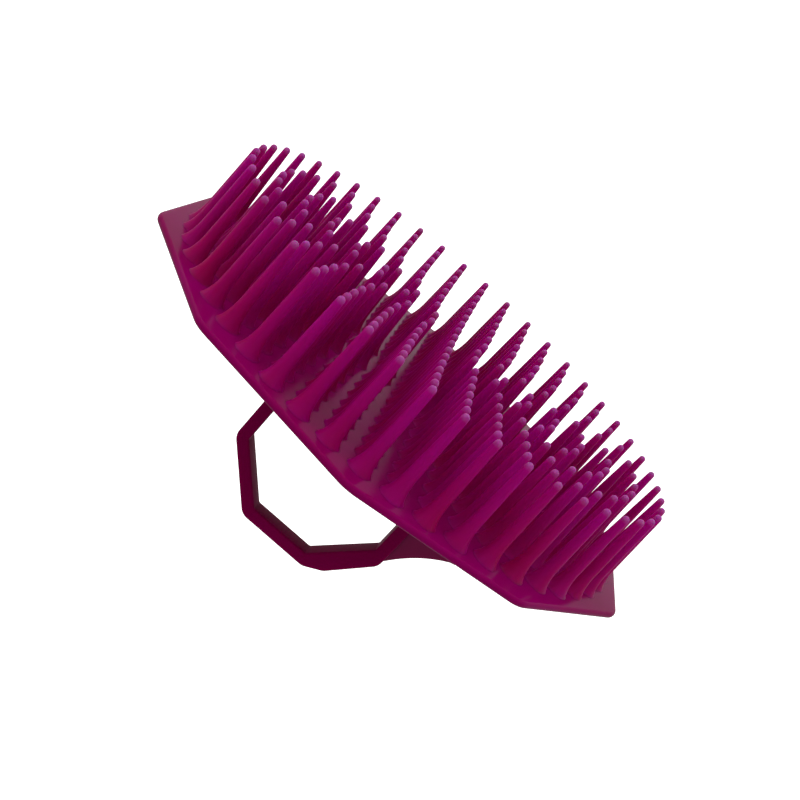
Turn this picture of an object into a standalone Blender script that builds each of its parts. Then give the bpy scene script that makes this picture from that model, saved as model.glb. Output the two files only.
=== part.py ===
"""A hand-held curry comb for grooming horses.

A thin ten-sided plate carries rings of slim flared tines on its front and an
eight-sided finger loop on its back, with a web beside one leg of the loop.

Frame: +Z up. The plate lies level, tines up and loop down. The origin is in
the middle of the loop's crown, which is the lowest face. X runs between two
flat sides of the plate, through the loop's two legs, and the loop's opening
faces along Y.
"""

import math

import bmesh
import bpy
from mathutils import Vector

MM = 0.001
GAP = 0.3 * MM                       # left between pieces that touch

# Finger loop: an upright eight-sided ring, crown down, foot on the plate
LOOP_HEIGHT = 33.0 * MM              # crown to the back of the plate
LOOP_HALF_WIDTH = 16.1 * MM          # middle to the outside of a leg
LOOP_CROWN_HALF = 6.6 * MM           # half the crown's outer length
LOOP_DIAGONAL_RISE = 10.1 * MM       # height of a slanting side
LOOP_THICKNESS = 2.2 * MM
LOOP_WIDTH = 4.2 * MM                # along Y
LOOP_CORNER_RADIUS = 2.5 * MM
# The slanting side below the web is thicker, and meets the crown by a short facet
LOOP_FACET_END = (9.9 * MM, 1.8 * MM)
LOOP_THICK_END = (16.1 * MM, 9.0 * MM)

# Web in the loop's plane, outside the leg on +X. Its free edge leaves the leg,
# follows a hollow curve to a knee, then climbs to the plate. Pairs are X and Z.
WEB_THICKNESS = 1.6 * MM
WEB_START_Z = 9.3 * MM
WEB_HOLLOW = (19.6 * MM, 14.8 * MM)  # pulls the hollow curve
WEB_KNEE = (24.5 * MM, 17.4 * MM)
WEB_TURN = (27.7 * MM, 18.0 * MM)    # pulls the curve past the knee
WEB_SIDE = (29.3 * MM, 23.4 * MM)
WEB_FOOT = 30.5 * MM                 # how far it reaches along the plate
WEB_INNER_FOOT = 7.4 * MM            # where it meets the plate inside
WEB_CURVE_STEPS = 8

# Plate: flat sides face +X and -X, corners face +Y and -Y
PLATE_SIDES = 10
PLATE_APOTHEM = 45.7 * MM
PLATE_THICKNESS = 1.2 * MM
PLATE_CORNER_RADIUS = 5.5 * MM
PLATE_EDGE_BEVEL = 0.3 * MM

# Tines: ring n holds 6 n tines, and its radius is n times the pitch
TINE_RINGS = 8
TINES_PER_STEP = 6
RING_PITCH = 5.25 * MM
TINE_HEIGHT = 15.0 * MM              # front of the plate to the outer tips
TINE_DISH = 2.3 * MM                 # how much lower the middle tips stand
TINE_TIP_RADIUS = 0.65 * MM
# A tine's flared foot: height above its strip, and radius there
TINE_FOOT = ((0.0 * MM, 1.9 * MM), (1.5 * MM, 1.2 * MM), (4.0 * MM, 0.9 * MM))
BED_THICKNESS = 0.6 * MM             # strip that a ring of tines stands on
BED_GAP = 0.7 * MM                   # between neighbouring strips
CENTRE_RADIUS = 2.25 * MM            # disc under the middle tine
CENTRE_SIDES = 12

CORNER_STEPS = 4
EDGE_BEVEL = 0.3 * MM
SHARP_ANGLE = math.radians(35)
BEVEL_ANGLE = math.radians(60)

PLATE_BACK = LOOP_HEIGHT
PLATE_FRONT = PLATE_BACK + PLATE_THICKNESS
OUTER_RING_RADIUS = TINE_RINGS * RING_PITCH
FIRST_TINE_ANGLE = -math.pi / 2      # every ring has a tine on the -Y side

MAGENTA = (0.24, 0.004, 0.075, 1.0)
DEEP_MAGENTA = (0.13, 0.002, 0.035, 1.0)
ROUGHNESS = 0.32


def clear_scene():
    for item in list(bpy.data.objects):
        bpy.data.objects.remove(item, do_unlink=True)


def plastic(name, colour):
    material = bpy.data.materials.new(name)
    material.use_nodes = True
    shader = material.node_tree.nodes["Principled BSDF"]
    shader.inputs["Base Color"].default_value = colour
    shader.inputs["Roughness"].default_value = ROUGHNESS
    shader.inputs["Metallic"].default_value = 0.0
    return material


def finish(name, bm, material):
    """Turn a bmesh into a named object with outward faces and smooth rounds."""
    bmesh.ops.recalc_face_normals(bm, faces=bm.faces)
    mesh = bpy.data.meshes.new(name)
    bm.to_mesh(mesh)
    bm.free()
    mesh.shade_smooth()
    mesh.set_sharp_from_angle(angle=SHARP_ANGLE)
    mesh.materials.append(material)
    item = bpy.data.objects.new(name, mesh)
    bpy.context.collection.objects.link(item)
    return item


def bevel_rims(item, width, segments):
    bevel = item.modifiers.new("rim_bevel", "BEVEL")
    bevel.width = width
    bevel.segments = segments
    bevel.limit_method = "ANGLE"
    bevel.angle_limit = BEVEL_ANGLE


def regular_polygon(sides, apothem, first_angle):
    radius = apothem / math.cos(math.pi / sides)
    angles = [first_angle + 2 * math.pi * i / sides for i in range(sides)]
    return [Vector((radius * math.cos(a), radius * math.sin(a))) for a in angles]


def round_corners(points, radius, steps=CORNER_STEPS):
    """Replace each corner of a convex outline with an arc."""
    rounded = []
    count = len(points)
    for i, corner in enumerate(points):
        before = (points[i - 1] - corner).normalized()
        after = (points[(i + 1) % count] - corner).normalized()
        half = before.angle(after) / 2
        middle = (before + after).normalized()
        centre = corner + middle * (radius / math.sin(half))
        start = corner + before * (radius / math.tan(half)) - centre
        sweep = start.angle_signed(corner + after * (radius / math.tan(half)) - centre)
        for step in range(steps + 1):
            turn = -sweep * step / steps
            arm = Vector((start.x * math.cos(turn) - start.y * math.sin(turn),
                          start.x * math.sin(turn) + start.y * math.cos(turn)))
            rounded.append(centre + arm)
    return rounded


def inset_outline(points, depth):
    """Move every side of a convex, anticlockwise outline inwards."""
    moved = []
    count = len(points)
    for i, corner in enumerate(points):
        into = (corner - points[i - 1]).normalized()
        out = (points[(i + 1) % count] - corner).normalized()
        normal_in = Vector((-into.y, into.x))
        normal_out = Vector((-out.y, out.x))
        share = depth / (1 + normal_in.dot(normal_out))
        moved.append(corner + (normal_in + normal_out) * share)
    return moved


def add_loop(bm, positions):
    verts = [bm.verts.new(p) for p in positions]
    return [bm.edges.new((v, verts[(i + 1) % len(verts)])) for i, v in enumerate(verts)]


def extruded(outlines, place, depth):
    """Fill flat outlines (an outer one and any holes) and extrude them."""
    bm = bmesh.new()
    edges = []
    for outline in outlines:
        edges += add_loop(bm, [place(p) for p in outline])
    bmesh.ops.triangle_fill(bm, use_beauty=True, use_dissolve=True, edges=edges)
    solid = bmesh.ops.extrude_face_region(bm, geom=bm.faces[:])
    top = [v for v in solid["geom"] if isinstance(v, bmesh.types.BMVert)]
    bmesh.ops.translate(bm, verts=top, vec=depth)
    return bm


def upright(y):
    """Outline points (x, z) placed on the plane at this y."""
    return lambda p: Vector((p.x, y, p.y))


def level(z):
    """Outline points (x, y) placed at this height."""
    return lambda p: Vector((p.x, p.y, z))


def loop_outline():
    """The eight corners of the loop's outside, anticlockwise from the crown."""
    top = LOOP_HEIGHT - GAP
    low = LOOP_DIAGONAL_RISE
    high = LOOP_HEIGHT - LOOP_DIAGONAL_RISE
    right = [(LOOP_CROWN_HALF, 0.0), (LOOP_HALF_WIDTH, low),
             (LOOP_HALF_WIDTH, high), (LOOP_CROWN_HALF, top)]
    left = [(-x, z) for x, z in reversed(right)]
    return [Vector(p) for p in right + left]


def make_finger_loop(material):
    even = loop_outline()
    inside = inset_outline(even, LOOP_THICKNESS)
    outside = [even[0], Vector(LOOP_FACET_END), Vector(LOOP_THICK_END)] + even[2:]
    outlines = [round_corners(outside, LOOP_CORNER_RADIUS), inside]
    bm = extruded(outlines, upright(-LOOP_WIDTH / 2), Vector((0, LOOP_WIDTH, 0)))
    item = finish("finger_loop", bm, material)
    bevel_rims(item, EDGE_BEVEL, 1)


def bezier(start, control, end, steps):
    points = []
    for step in range(steps + 1):
        t = step / steps
        points.append(start * (1 - t) ** 2 + control * 2 * t * (1 - t) + end * t ** 2)
    return points


def make_leg_web(material):
    """Fills the corner between the +X leg of the loop and the plate."""
    leg = LOOP_HALF_WIDTH + GAP
    top = PLATE_BACK - GAP
    knee = Vector(WEB_KNEE)
    hollow = bezier(Vector((leg, WEB_START_Z)), Vector(WEB_HOLLOW), knee, WEB_CURVE_STEPS)
    side = bezier(knee, Vector(WEB_TURN), Vector(WEB_SIDE), WEB_CURVE_STEPS)
    foot = [Vector((WEB_FOOT, top)), Vector((WEB_INNER_FOOT, top))]
    shoulder = Vector((leg, LOOP_HEIGHT - LOOP_DIAGONAL_RISE))
    outline = hollow + side[1:] + foot + [shoulder]
    bm = extruded([outline], upright(-WEB_THICKNESS / 2), Vector((0, WEB_THICKNESS, 0)))
    finish("leg_web", bm, material)


def make_plate(material):
    corners = regular_polygon(PLATE_SIDES, PLATE_APOTHEM, math.pi / PLATE_SIDES)
    outline = round_corners(corners, PLATE_CORNER_RADIUS)
    bm = extruded([outline], level(PLATE_BACK), Vector((0, 0, PLATE_THICKNESS)))
    item = finish("base_plate", bm, material)
    bevel_rims(item, PLATE_EDGE_BEVEL, 2)


def tip_height(radius):
    """Tips stand a little lower towards the middle."""
    return PLATE_FRONT + TINE_HEIGHT - TINE_DISH * (1 - (radius / OUTER_RING_RADIUS) ** 2)


def polar(radius, angle, z):
    return Vector((radius * math.cos(angle), radius * math.sin(angle), z))


def tine_hexagon(bm, radius, angle, z, size):
    """Six corners of a tine's section, two of them on the outer side."""
    centre = polar(radius, angle, z)
    turns = (-30, -90, -150, 150, 90, 30)
    return [bm.verts.new(centre + polar(size, angle + math.radians(t), 0)) for t in turns]


def add_walls(bm, lower, upper):
    count = len(lower)
    for i in range(count):
        j = (i + 1) % count
        bm.faces.new((lower[i], lower[j], upper[j], upper[i]))


def add_tine(bm, rim, radius, angle, bed_top):
    """Grow a tine out of the cell of the bed whose corners are in rim."""
    sections = [rim]
    for rise, size in TINE_FOOT:
        sections.append(tine_hexagon(bm, radius, angle, bed_top + rise, size))
    sections.append(tine_hexagon(bm, radius, angle, tip_height(radius), TINE_TIP_RADIUS))
    for lower, upper in zip(sections, sections[1:]):
        add_walls(bm, lower, upper)
    bm.faces.new(sections[-1])


def make_tine_ring(number, material):
    """One ring of tines on its strip of the bed."""
    count = TINES_PER_STEP * number
    radius = RING_PITCH * number
    half = (RING_PITCH - BED_GAP) / 2
    bottom = PLATE_FRONT + GAP
    top = bottom + BED_THICKNESS
    step = 2 * math.pi / count
    bm = bmesh.new()
    seams = []
    for i in range(count):
        angle = FIRST_TINE_ANGLE + step * (i - 0.5)
        seams.append([bm.verts.new(polar(radius - half, angle, bottom)),
                      bm.verts.new(polar(radius + half, angle, bottom)),
                      bm.verts.new(polar(radius + half, angle, top)),
                      bm.verts.new(polar(radius, angle, top)),
                      bm.verts.new(polar(radius - half, angle, top))])
    for i in range(count):
        a = seams[i]
        b = seams[(i + 1) % count]
        bm.faces.new((a[0], a[1], b[1], b[0]))
        bm.faces.new((a[1], a[2], b[2], b[1]))
        bm.faces.new((a[4], a[0], b[0], b[4]))
        rim = [a[2], a[3], a[4], b[4], b[3], b[2]]
        add_tine(bm, rim, radius, FIRST_TINE_ANGLE + step * i, top)
    finish(f"tine_ring_{number:02d}", bm, material)


def make_centre_tine(material):
    """The single tine in the middle, on a small disc."""
    bottom = PLATE_FRONT + GAP
    top = bottom + BED_THICKNESS
    profile = [(CENTRE_RADIUS, bottom), (CENTRE_RADIUS, top)]
    profile += [(size, top + rise) for rise, size in TINE_FOOT]
    profile.append((TINE_TIP_RADIUS, tip_height(0)))
    bm = bmesh.new()
    sections = []
    for size, z in profile:
        angles = [2 * math.pi * i / CENTRE_SIDES for i in range(CENTRE_SIDES)]
        sections.append([bm.verts.new(polar(size, a, z)) for a in angles])
    bm.faces.new(sections[0])
    for lower, upper in zip(sections, sections[1:]):
        add_walls(bm, lower, upper)
    bm.faces.new(sections[-1])
    finish("tine_centre", bm, material)


def main():
    clear_scene()
    make_finger_loop(plastic("loop_plastic", DEEP_MAGENTA))
    make_leg_web(plastic("web_plastic", DEEP_MAGENTA))
    make_plate(plastic("plate_plastic", MAGENTA))
    make_centre_tine(plastic("tine_plastic_00", MAGENTA))
    for number in range(1, TINE_RINGS + 1):
        make_tine_ring(number, plastic(f"tine_plastic_{number:02d}", MAGENTA))


main()
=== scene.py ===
"""The looks of a hand-held curry comb in glossy, slightly translucent magenta plastic.

Every piece is rebuilt finer than its CAD solid, in the same place: round tines with
soft tips and curved, flared roots, a plate with rounded edges, and a loop and web with
eased edges that meet the plate.
"""

import math

import bmesh
import bpy
from mathutils import Matrix, Vector

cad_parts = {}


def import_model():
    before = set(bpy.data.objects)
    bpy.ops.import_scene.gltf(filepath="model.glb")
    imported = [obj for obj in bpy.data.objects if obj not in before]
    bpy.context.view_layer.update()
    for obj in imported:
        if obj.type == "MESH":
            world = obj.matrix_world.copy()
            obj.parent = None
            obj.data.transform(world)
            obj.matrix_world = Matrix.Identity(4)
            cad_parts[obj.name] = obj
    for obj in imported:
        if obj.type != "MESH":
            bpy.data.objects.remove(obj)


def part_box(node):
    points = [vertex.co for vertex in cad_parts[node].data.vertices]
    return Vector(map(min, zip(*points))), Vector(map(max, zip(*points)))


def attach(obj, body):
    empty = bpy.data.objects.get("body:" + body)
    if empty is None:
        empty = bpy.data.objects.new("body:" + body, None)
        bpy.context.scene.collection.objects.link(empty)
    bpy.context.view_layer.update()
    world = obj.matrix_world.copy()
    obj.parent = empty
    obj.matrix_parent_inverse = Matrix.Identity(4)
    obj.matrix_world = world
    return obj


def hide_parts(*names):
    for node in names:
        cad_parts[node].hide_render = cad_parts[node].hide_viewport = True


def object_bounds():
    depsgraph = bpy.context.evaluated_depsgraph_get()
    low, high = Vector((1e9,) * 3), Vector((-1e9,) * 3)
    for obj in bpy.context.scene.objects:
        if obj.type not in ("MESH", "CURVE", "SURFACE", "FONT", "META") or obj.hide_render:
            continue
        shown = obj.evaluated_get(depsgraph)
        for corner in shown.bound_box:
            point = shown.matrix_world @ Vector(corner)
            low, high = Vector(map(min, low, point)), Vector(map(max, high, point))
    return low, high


MM = 0.001

# The comb's own pattern, as in its CAD
PLATE_SIDES = 10
PLATE_CORNER_RADIUS = 5.5 * MM
TINE_RINGS = 8
TINES_PER_STEP = 6
RING_PITCH = 5.25 * MM
FIRST_TINE_ANGLE = -math.pi / 2

# Plate
PLATE_CORNER_STEPS = 8
RIM_STEPS = 8
RIM_ROUNDNESS = 0.8                  # 1 would make the rim a half round

# Tines
TINE_SIDES = 16
TINE_ROOT_RADIUS = 0.95 * MM
TINE_TIP_RADIUS = 0.58 * MM
ROOT_FLARE = 1.5 * MM                # how far a root spreads on the plate
FLARE_HEIGHT = 5.0 * MM
FLARE_STEPS = 7
SHAFT_STEPS = 6
DOME_STEPS = 5
STRIP_STEPS = 4                      # bed segments from one tine to the next
CENTRE_STEPS = 32                    # bed segments round the middle tine

# Loop and web. Pairs are X and Z.
LOOP_THICKNESS = 2.2 * MM
LOOP_CORNER_RADIUS = 2.5 * MM
LOOP_CORNER_STEPS = 6
INNER_CORNER_RADIUS = 0.5 * MM
INNER_CORNER_STEPS = 3
LOOP_CROWN_HALF = 6.6 * MM
LOOP_DIAGONAL_RISE = 10.1 * MM
LOOP_FACET_END = (9.9 * MM, 1.8 * MM)
LOOP_THICK_END = (16.1 * MM, 9.0 * MM)
LOOP_EDGE = 0.45 * MM                # how far its edges are eased
WEB_START_Z = 9.3 * MM
WEB_HOLLOW = (19.6 * MM, 14.8 * MM)
WEB_KNEE = (24.5 * MM, 17.4 * MM)
WEB_TURN = (27.7 * MM, 18.0 * MM)
WEB_SIDE = (29.3 * MM, 23.4 * MM)
WEB_FOOT = 30.5 * MM
WEB_EDGE = 0.3 * MM
WEB_HOLLOW_STEPS = 14
WEB_SIDE_STEPS = 10
EASING_STEPS = 4

SINK = 0.15 * MM                     # how far a joined piece runs into the next
STRIP_DEPTH = 0.05 * MM              # how far the strips' tops lie under the plate's face
MERGE_DISTANCE = 0.001 * MM
SHARP_ANGLE = math.radians(40)       # on the plate and the tines
SLAB_SHARP_ANGLE = math.radians(30)
SLAB_RIM_ANGLE = math.radians(60)    # edges that turn more than this are eased

# Linear colours. A sheen is the tint of a piece's reflections.
TINE_SHEEN = (1.0, 0.3, 0.8)
PLATE_SHEEN = (1.0, 0.5, 0.85)
LOOP_SHEEN = (1.0, 0.4, 0.7)
# Up the tines: painted shade in the deeper red at the roots, painted light growing paler up the
# shafts, and a painted highlight at the tips.
TINE_ROOT_SHADE = (0.27, 0.0, 0.065)
TINE_SHAFT = (0.27, 0.0, 0.095)
TINE_UPPER = (0.26, 0.0005, 0.15)
TINE_TIP_HIGHLIGHT = (0.21, 0.12, 0.32)
# Painted highlight streaks along the tines, lighter purple over a darker red.
HIGHLIGHT_STREAK_DARK = (0.22, 0.0, 0.055)
HIGHLIGHT_STREAK_LIGHT = (0.25, 0.0, 0.15)
PLATE_DEEP = (0.17, 0.0, 0.055)
PLATE_BRIGHT = (0.2, 0.0, 0.08)
LOOP_DEEP = (0.14, 0.0, 0.036)
LOOP_BRIGHT = (0.165, 0.0, 0.048)
# How much of the tines' colour the painted highlight streaks make.
HIGHLIGHT_STREAK_SHARE = 0.45
SCATTER_REACH = (1.0, 0.05, 0.5)     # of red, green and blue light inside the plastic
SCATTER_SCALE = 3.0 * MM
GLOSS_BELOW = 0.05                   # how far the roughness strays from its middle
GLOSS_ABOVE = 0.07
GRAIN_STRENGTH = 0.12
GRAIN_DEPTH = 0.1 * MM

# Noise scales, in cells per metre
GLOSS_PATCHES = 240.0
GRAIN = 900.0
# The painted highlight streaks on the tines
HIGHLIGHT_STREAKS = 160.0
FLOW_MARKS = 55.0

# Light
STAGE_RADIUS = 3.0
FLOOR_GLOW = 0.82
DOME_GLOW = 1.2
FLOOR_DROP = 0.3                     # leaves room to look at the comb from below
HORIZON_STRENGTH = 0.52              # of the sky, which brightens upwards
ZENITH_STRENGTH = 1.0
ZENITH_START = 0.7                   # how far up the sky is at its brightest
LAMP_DISTANCE = 0.6
LAMP_AIM = Vector((0, 0, 34)) * MM   # the middle of the plate's face
KEY_DIRECTION = (-0.66, -0.1, 0.75)
KEY_SIZE = 0.9
KEY_POWER = 1.3
FRONT_DIRECTION = (0.1, -1.0, 0.45)
FRONT_SIZE = 0.7
FRONT_POWER = 0.6

# Camera
CAMERA_TARGET = Vector((0.2, -0.4, 32.7)) * MM
CAMERA_DISTANCE = 198.8 * MM
CAMERA_AZIMUTH = math.radians(-93.26)
CAMERA_ELEVATION = math.radians(16.21)
CAMERA_ROLL = math.radians(42.32)
CAMERA_LENS = 55.55
SENSOR_WIDTH = 36


# ---------------------------------------------------------------- geometry

def polar(radius, angle, z):
    return Vector((radius * math.cos(angle), radius * math.sin(angle), z))


def add_item(name, data):
    item = bpy.data.objects.new(name, data)
    bpy.context.collection.objects.link(item)
    return item


def add_smooth(name, mesh, bm, sharp_angle):
    """Put a bmesh into its mesh and show it smooth, up to an angle."""
    bm.to_mesh(mesh)
    bm.free()
    mesh.shade_smooth()
    mesh.set_sharp_from_angle(angle=sharp_angle)
    return add_item(name, mesh)


def add_mesh(name, verts, faces):
    mesh = bpy.data.meshes.new(name)
    mesh.from_pydata([tuple(v) for v in verts], [], faces)
    bm = bmesh.new()
    bm.from_mesh(mesh)
    bmesh.ops.remove_doubles(bm, verts=bm.verts, dist=MERGE_DISTANCE)
    bmesh.ops.recalc_face_normals(bm, faces=bm.faces)
    return add_smooth(name, mesh, bm, SHARP_ANGLE)


def tine_profile(height):
    """Radius and height pairs, from the flared root to the rounded tip."""
    pairs = []
    for step in range(FLARE_STEPS + 1):
        turn = math.pi / 2 * step / FLARE_STEPS
        pairs.append((TINE_ROOT_RADIUS + ROOT_FLARE * (1 - math.sin(turn)),
                      FLARE_HEIGHT * (1 - math.cos(turn))))
    dome_base = height - TINE_TIP_RADIUS
    for step in range(1, SHAFT_STEPS + 1):
        share = step / SHAFT_STEPS
        pairs.append((TINE_ROOT_RADIUS + (TINE_TIP_RADIUS - TINE_ROOT_RADIUS) * share,
                      FLARE_HEIGHT + (dome_base - FLARE_HEIGHT) * share))
    for step in range(1, DOME_STEPS):
        turn = math.pi / 2 * step / DOME_STEPS
        pairs.append((TINE_TIP_RADIUS * math.cos(turn),
                      dome_base + TINE_TIP_RADIUS * math.sin(turn)))
    return pairs


def add_tine(verts, faces, centre, height):
    """Append one tine's skin, open at its root."""
    rows = []
    for radius, rise in tine_profile(height):
        row = []
        for side in range(TINE_SIDES):
            row.append(len(verts))
            verts.append(centre + polar(radius, 2 * math.pi * side / TINE_SIDES, rise))
        rows.append(row)
    for low, high in zip(rows, rows[1:]):
        for side in range(TINE_SIDES):
            after = (side + 1) % TINE_SIDES
            faces.append((low[side], low[after], high[after], high[side]))
    crown = len(verts)
    verts.append(centre + Vector((0, 0, height)))
    for side in range(TINE_SIDES):
        faces.append((rows[-1][side], rows[-1][(side + 1) % TINE_SIDES], crown))


def add_strip(verts, faces, inner, outer, low, high, steps):
    """Append a closed flat ring, square in section."""
    first = len(verts)
    for step in range(steps):
        angle = 2 * math.pi * step / steps
        verts += [polar(inner, angle, low), polar(outer, angle, low),
                  polar(outer, angle, high), polar(inner, angle, high)]
    for step in range(steps):
        here = first + 4 * step
        there = first + 4 * ((step + 1) % steps)
        for corner in range(4):
            after = (corner + 1) % 4
            faces.append((here + corner, here + after, there + after, there + corner))


def add_disc(verts, faces, radius, low, high, steps):
    first = len(verts)
    for z in (low, high):
        verts += [polar(radius, 2 * math.pi * step / steps, z) for step in range(steps)]
    faces.append(tuple(range(first, first + steps)))
    faces.append(tuple(range(first + steps, first + 2 * steps)))
    for step in range(steps):
        after = (step + 1) % steps
        faces.append((first + step, first + after, first + steps + after,
                      first + steps + step))


def make_tine_ring(number, floor, bed, material):
    """One ring of tines and the strip of bed under them."""
    node = f"tine_ring_{number:02d}"
    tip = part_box(node)[1][2]
    count = TINES_PER_STEP * number
    radius = RING_PITCH * number
    verts, faces = [], []
    add_strip(verts, faces, radius - RING_PITCH / 2, radius + RING_PITCH / 2,
              floor, bed, count * STRIP_STEPS)
    for i in range(count):
        centre = polar(radius, FIRST_TINE_ANGLE + 2 * math.pi * i / count, bed - SINK)
        add_tine(verts, faces, centre, tip - bed + SINK)
    dress(add_mesh(f"tines_{number:02d}", verts, faces), material, node)


def make_centre_tine(floor, bed, material):
    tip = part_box("tine_centre")[1][2]
    verts, faces = [], []
    add_disc(verts, faces, RING_PITCH / 2, floor, bed, CENTRE_STEPS)
    add_tine(verts, faces, Vector((0, 0, bed - SINK)), tip - bed + SINK)
    dress(add_mesh("tine_middle", verts, faces), material, "tine_centre")


def rounded_polygon(sides, apothem, corner_radius, steps):
    """Outline points of a regular polygon with arcs for corners."""
    arm = (apothem - corner_radius) / math.cos(math.pi / sides)
    points = []
    for i in range(sides):
        middle = (2 * i + 1) * math.pi / sides
        for step in range(steps + 1):
            angle = middle + (2 * step / steps - 1) * math.pi / sides
            points.append(polar(arm, middle, 0) + polar(corner_radius, angle, 0))
    return points


def make_plate(material):
    """A thin plate with a softly rounded rim."""
    low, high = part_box("base_plate")
    apothem = high[0]
    half = (high[2] - low[2]) / 2
    verts, faces, rows = [], [], []
    for step in range(RIM_STEPS + 1):
        turn = math.pi * (step / RIM_STEPS - 0.5)
        inset = half * (1 - math.cos(turn)) * RIM_ROUNDNESS
        z = low[2] + half * (1 + math.sin(turn))
        outline = rounded_polygon(PLATE_SIDES, apothem - inset, PLATE_CORNER_RADIUS - inset,
                                  PLATE_CORNER_STEPS)
        rows.append(list(range(len(verts), len(verts) + len(outline))))
        verts += [p + Vector((0, 0, z)) for p in outline]
    count = len(rows[0])
    for below, above in zip(rows, rows[1:]):
        for i in range(count):
            j = (i + 1) % count
            faces.append((below[i], below[j], above[j], above[i]))
    faces.append(tuple(rows[0]))
    faces.append(tuple(rows[-1]))
    dress(add_mesh("plate", verts, faces), material, "base_plate")


def round_corners(points, radius, steps):
    """Replace each corner of a convex outline with an arc."""
    rounded = []
    count = len(points)
    for i, corner in enumerate(points):
        before = (points[i - 1] - corner).normalized()
        after = (points[(i + 1) % count] - corner).normalized()
        half = before.angle(after) / 2
        centre = corner + (before + after).normalized() * (radius / math.sin(half))
        start = corner + before * (radius / math.tan(half)) - centre
        end = corner + after * (radius / math.tan(half)) - centre
        sweep = start.angle_signed(end)
        for step in range(steps + 1):
            rounded.append(centre + Matrix.Rotation(-sweep * step / steps, 2) @ start)
    return rounded


def inset_outline(points, depth):
    """Move every side of a convex, anticlockwise outline inwards."""
    moved = []
    count = len(points)
    for i, corner in enumerate(points):
        into = (corner - points[i - 1]).normalized()
        out = (points[(i + 1) % count] - corner).normalized()
        normal_in = Vector((-into.y, into.x))
        normal_out = Vector((-out.y, out.x))
        moved.append(corner + (normal_in + normal_out) * depth / (1 + normal_in.dot(normal_out)))
    return moved


def upright_slab(name, outlines, thickness, edge):
    """Fill outlines drawn in X and Z, give them thickness along Y, and ease the edges."""
    bm = bmesh.new()
    edges = []
    for outline in outlines:
        ring = [bm.verts.new((p.x, -thickness / 2, p.y)) for p in outline]
        edges += [bm.edges.new((v, ring[(i + 1) % len(ring)])) for i, v in enumerate(ring)]
    bmesh.ops.triangle_fill(bm, use_beauty=True, use_dissolve=True, edges=edges)
    grown = bmesh.ops.extrude_face_region(bm, geom=bm.faces[:])
    moved = [v for v in grown["geom"] if isinstance(v, bmesh.types.BMVert)]
    bmesh.ops.translate(bm, verts=moved, vec=Vector((0, thickness, 0)))
    bmesh.ops.recalc_face_normals(bm, faces=bm.faces)
    rims = [e for e in bm.edges if len(e.link_faces) == 2
            and e.calc_face_angle() > SLAB_RIM_ANGLE]
    bmesh.ops.bevel(bm, geom=rims, offset=edge, segments=EASING_STEPS, profile=0.5,
                    affect="EDGES")
    return add_smooth(name, bpy.data.meshes.new(name), bm, SLAB_SHARP_ANGLE)


def make_loop(material):
    low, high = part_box("finger_loop")
    plate_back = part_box("base_plate")[0][2]
    half = high[0]
    top = plate_back + SINK
    right = [(LOOP_CROWN_HALF, low[2]), (half, LOOP_DIAGONAL_RISE),
             (half, plate_back - LOOP_DIAGONAL_RISE), (LOOP_CROWN_HALF, top)]
    left = [(-x, z) for x, z in reversed(right)]
    even = [Vector(p) for p in right + left]
    inside = inset_outline(even, LOOP_THICKNESS)
    outside = [even[0], Vector(LOOP_FACET_END), Vector(LOOP_THICK_END)] + even[2:]
    outlines = [round_corners(outside, LOOP_CORNER_RADIUS, LOOP_CORNER_STEPS),
                round_corners(inside, INNER_CORNER_RADIUS, INNER_CORNER_STEPS)]
    item = upright_slab("loop", outlines, high[1] - low[1], LOOP_EDGE)
    dress(item, material, "finger_loop")


def bezier(start, control, end, steps):
    points = []
    for step in range(steps + 1):
        t = step / steps
        points.append(start * (1 - t) ** 2 + control * 2 * t * (1 - t) + end * t ** 2)
    return points


def make_web(material):
    low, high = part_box("leg_web")
    plate_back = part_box("base_plate")[0][2]
    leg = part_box("finger_loop")[1][0] - SINK
    top = plate_back + SINK
    knee = Vector(WEB_KNEE)
    hollow = bezier(Vector((leg, WEB_START_Z)), Vector(WEB_HOLLOW), knee,
                    WEB_HOLLOW_STEPS)
    side = bezier(knee, Vector(WEB_TURN), Vector(WEB_SIDE), WEB_SIDE_STEPS)
    shoulder = Vector((leg, plate_back - LOOP_DIAGONAL_RISE))
    foot = [Vector((WEB_FOOT, top)), Vector((LOOP_CROWN_HALF, top))]
    outline = hollow + side[1:] + foot + [shoulder]
    item = upright_slab("web", [outline], high[1] - low[1], WEB_EDGE)
    dress(item, material, "leg_web")


# ---------------------------------------------------------------- materials

def noise(tree, source, scale, detail, stretch=(1, 1, 1)):
    """A noise value in the object's own space, drawn out by stretch."""
    mapping = tree.nodes.new("ShaderNodeMapping")
    mapping.inputs["Scale"].default_value = stretch
    tree.links.new(source, mapping.inputs["Vector"])
    texture = tree.nodes.new("ShaderNodeTexNoise")
    texture.inputs["Scale"].default_value = scale
    texture.inputs["Detail"].default_value = detail
    tree.links.new(mapping.outputs["Vector"], texture.inputs["Vector"])
    return texture.outputs["Fac"]


def ramp(tree, value, stops):
    """Colour stops over a value between 0 and 1."""
    node = tree.nodes.new("ShaderNodeValToRGB")
    while len(node.color_ramp.elements) < len(stops):
        node.color_ramp.elements.new(0.5)
    for element, (position, colour) in zip(node.color_ramp.elements, stops):
        element.position = position
        element.color = (*colour, 1)
    tree.links.new(value, node.inputs["Fac"])
    return node.outputs["Color"]


def spread(tree, value, low, high, to_low, to_high):
    """Map one range of values onto another, held at both ends."""
    node = tree.nodes.new("ShaderNodeMapRange")
    node.inputs["From Min"].default_value = low
    node.inputs["From Max"].default_value = high
    node.inputs["To Min"].default_value = to_low
    node.inputs["To Max"].default_value = to_high
    tree.links.new(value, node.inputs["Value"])
    return node.outputs["Result"]


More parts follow.
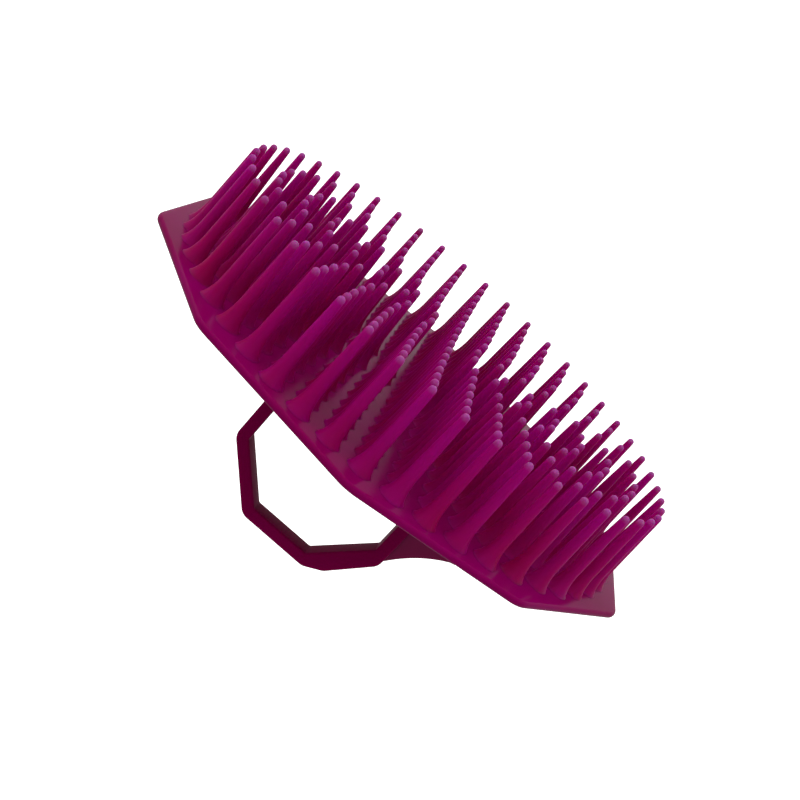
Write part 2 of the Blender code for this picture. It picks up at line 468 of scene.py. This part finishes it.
def blend(tree, share, first, second):
    """Mix two colours, with this share of the second."""
    node = tree.nodes.new("ShaderNodeMix")
    node.data_type = "RGBA"
    node.clamp_factor = True
    colours = [socket for socket in node.inputs if socket.type == "RGBA"]
    node.inputs["Factor"].default_value = share
    tree.links.new(first, colours[0])
    tree.links.new(second, colours[1])
    return [socket for socket in node.outputs if socket.type == "RGBA"][0]


def start_plastic(name, roughness, specular, tint, subsurface):
    """Moulded plastic with uneven gloss and a fine grain, still without its colour."""
    material = bpy.data.materials.new(name)
    material.use_nodes = True
    tree = material.node_tree
    shader = tree.nodes["Principled BSDF"]
    place = tree.nodes.new("ShaderNodeTexCoord").outputs["Object"]

    patches = noise(tree, place, GLOSS_PATCHES, 4.0)
    gloss = spread(tree, patches, 0.3, 0.7, roughness - GLOSS_BELOW, roughness + GLOSS_ABOVE)
    tree.links.new(gloss, shader.inputs["Roughness"])

    bump = tree.nodes.new("ShaderNodeBump")
    bump.inputs["Strength"].default_value = GRAIN_STRENGTH
    bump.inputs["Distance"].default_value = GRAIN_DEPTH
    tree.links.new(noise(tree, place, GRAIN, 2.0), bump.inputs["Height"])
    tree.links.new(bump.outputs["Normal"], shader.inputs["Normal"])

    shader.inputs["Specular IOR Level"].default_value = specular
    shader.inputs["Specular Tint"].default_value = (*tint, 1)
    shader.inputs["Subsurface Weight"].default_value = subsurface
    shader.inputs["Subsurface Radius"].default_value = SCATTER_REACH
    shader.inputs["Subsurface Scale"].default_value = SCATTER_SCALE
    return material, tree, shader, place


def height_up_tine(tree, place, floor, tip):
    """0 at the plate and 1 at the tips, which stand lower towards the middle."""
    parts = tree.nodes.new("ShaderNodeSeparateXYZ")
    tree.links.new(place, parts.inputs["Vector"])
    flat = tree.nodes.new("ShaderNodeVectorMath")
    flat.operation = "MULTIPLY"
    flat.inputs[1].default_value = (1, 1, 0)
    tree.links.new(place, flat.inputs[0])
    radius = tree.nodes.new("ShaderNodeVectorMath")
    radius.operation = "LENGTH"
    tree.links.new(flat.outputs["Vector"], radius.inputs[0])
    square = tree.nodes.new("ShaderNodeMath")
    square.operation = "POWER"
    square.inputs[1].default_value = 2.0
    tree.links.new(radius.outputs["Value"], square.inputs[0])
    outer = (TINE_RINGS * RING_PITCH) ** 2
    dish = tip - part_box("tine_centre")[1][2]
    lift = spread(tree, square.outputs["Value"], 0.0, outer, dish, 0.0)
    total = tree.nodes.new("ShaderNodeMath")
    total.operation = "ADD"
    tree.links.new(parts.outputs["Z"], total.inputs[0])
    tree.links.new(lift, total.inputs[1])
    return spread(tree, total.outputs["Value"], floor + dish, tip, 0.0, 1.0)


def tine_plastic(floor, tip):
    """Painted shade as deep red at the roots, purple along the shafts, painted light growing
    paler to a painted highlight at the tips, and painted highlight streaks along them.
    """
    material, tree, shader, place = start_plastic(
        "tine_plastic", roughness=0.42, specular=0.08, tint=TINE_SHEEN, subsurface=0.8)
    height = height_up_tine(tree, place, floor, tip)
    # Painted shade at the roots, painted light up the shafts and a painted highlight at the
    # tips.
    along = ramp(tree, height, [(0.0, TINE_ROOT_SHADE), (0.35, TINE_SHAFT), (0.92, TINE_UPPER),
                                (1.0, TINE_TIP_HIGHLIGHT)])
    # Painted highlight streaks drawn out along the tines, mixed into the painted shade and
    # light.
    drawn = noise(tree, place, HIGHLIGHT_STREAKS, 2.0, stretch=(1, 1, 0.12))
    streaks = ramp(tree, drawn, [(0.35, HIGHLIGHT_STREAK_DARK), (0.65, HIGHLIGHT_STREAK_LIGHT)])
    shade_and_highlights = blend(tree, HIGHLIGHT_STREAK_SHARE, along, streaks)
    tree.links.new(shade_and_highlights, shader.inputs["Base Color"])
    return material


def flow_plastic(name, deep, bright, roughness, specular, tint, subsurface):
    """Slow flow marks in the colour, as on a broad moulded face."""
    material, tree, shader, place = start_plastic(name, roughness, specular, tint, subsurface)
    flow = noise(tree, place, FLOW_MARKS, 3.0)
    tree.links.new(ramp(tree, flow, [(0.3, deep), (0.7, bright)]), shader.inputs["Base Color"])
    return material


def dress(item, material, node):
    item.data.materials.append(material)
    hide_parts(node)
    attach(item, "root")


# ---------------------------------------------------------------- scene

def hide_from_light(item):
    """The stage shows to the camera but doesn't light or tint the comb."""
    item.visible_diffuse = False
    item.visible_glossy = False
    item.visible_transmission = False
    item.visible_shadow = False


def stage_white(name, glow):
    white = bpy.data.materials.new(name)
    white.use_nodes = True
    shader = white.node_tree.nodes["Principled BSDF"]
    shader.inputs["Base Color"].default_value = (0.8, 0.8, 0.8, 1)
    shader.inputs["Roughness"].default_value = 0.9
    shader.inputs["Specular IOR Level"].default_value = 0.1
    shader.inputs["Emission Color"].default_value = (1, 1, 1, 1)
    shader.inputs["Emission Strength"].default_value = glow
    return white


def add_stage_piece(name, bm, glow):
    mesh = bpy.data.meshes.new(name)
    bm.to_mesh(mesh)
    bm.free()
    mesh.materials.append(stage_white(f"{name}_white", glow))
    item = add_item(name, mesh)
    hide_from_light(item)
    return item


def add_stage():
    """A white floor that runs into a white dome without a horizon."""
    disc = bmesh.new()
    bmesh.ops.create_circle(disc, cap_ends=True, segments=96, radius=STAGE_RADIUS)
    floor = add_stage_piece("floor", disc, FLOOR_GLOW)
    floor.location.z = -FLOOR_DROP
    ball = bmesh.new()
    bmesh.ops.create_icosphere(ball, subdivisions=5, radius=STAGE_RADIUS)
    add_stage_piece("dome", ball, DOME_GLOW)


def add_area(name, direction, size, power):
    lamp = bpy.data.lights.new(name, "AREA")
    lamp.shape = "DISK"
    lamp.size = size
    lamp.energy = power
    item = add_item(name, lamp)
    item.location = Vector(direction).normalized() * LAMP_DISTANCE + LAMP_AIM
    item.rotation_euler = Vector(direction).to_track_quat("Z", "Y").to_euler()


def add_lights():
    world = bpy.data.worlds.new("studio")
    bpy.context.scene.world = world
    world.use_nodes = True
    background = world.node_tree.nodes["Background"]
    background.inputs["Color"].default_value = (1, 1, 1, 1)
    tree = world.node_tree
    direction = tree.nodes.new("ShaderNodeTexCoord").outputs["Generated"]
    parts = tree.nodes.new("ShaderNodeSeparateXYZ")
    tree.links.new(direction, parts.inputs["Vector"])
    strength = spread(tree, parts.outputs["Z"], 0.0, ZENITH_START,
                      HORIZON_STRENGTH, ZENITH_STRENGTH)
    tree.links.new(strength, background.inputs["Strength"])
    add_area("key", KEY_DIRECTION, KEY_SIZE, KEY_POWER)
    add_area("front", FRONT_DIRECTION, FRONT_SIZE, FRONT_POWER)


def add_camera():
    lens = bpy.data.cameras.new("camera")
    lens.lens = CAMERA_LENS
    lens.sensor_width = SENSOR_WIDTH
    lens.clip_start = 0.01
    lens.clip_end = 50
    camera = add_item("camera", lens)
    back = Vector((math.cos(CAMERA_ELEVATION) * math.cos(CAMERA_AZIMUTH),
                   math.cos(CAMERA_ELEVATION) * math.sin(CAMERA_AZIMUTH),
                   math.sin(CAMERA_ELEVATION)))
    right = Vector((0, 0, 1)).cross(back).normalized()
    up = back.cross(right)
    level = Matrix((right, up, back)).transposed()
    turned = level @ Matrix.Rotation(CAMERA_ROLL, 3, "Z")
    place = CAMERA_TARGET + back * CAMERA_DISTANCE
    camera.matrix_world = Matrix.Translation(place) @ turned.to_4x4()
    bpy.context.scene.camera = camera


def main():
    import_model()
    cad_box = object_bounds()
    bpy.context.scene.view_settings.view_transform = "Standard"
    add_camera()
    add_lights()
    add_stage()
    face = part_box("base_plate")[1][2]
    floor = face - SINK
    bed = face - STRIP_DEPTH
    tines = tine_plastic(bed, cad_box[1][2])
    plate = flow_plastic("plate_plastic", PLATE_DEEP, PLATE_BRIGHT, roughness=0.16,
                         specular=0.028, tint=PLATE_SHEEN, subsurface=0.3)
    loop = flow_plastic("loop_plastic", LOOP_DEEP, LOOP_BRIGHT, roughness=0.35,
                        specular=0.012, tint=LOOP_SHEEN, subsurface=0.3)
    web = flow_plastic("web_plastic", LOOP_DEEP, LOOP_BRIGHT, roughness=0.3,
                       specular=0.25, tint=PLATE_SHEEN, subsurface=0.2)
    make_plate(plate)
    make_loop(loop)
    make_web(web)
    make_centre_tine(floor, bed, tines)
    for number in range(1, TINE_RINGS + 1):
        make_tine_ring(number, floor, bed, tines)


main()
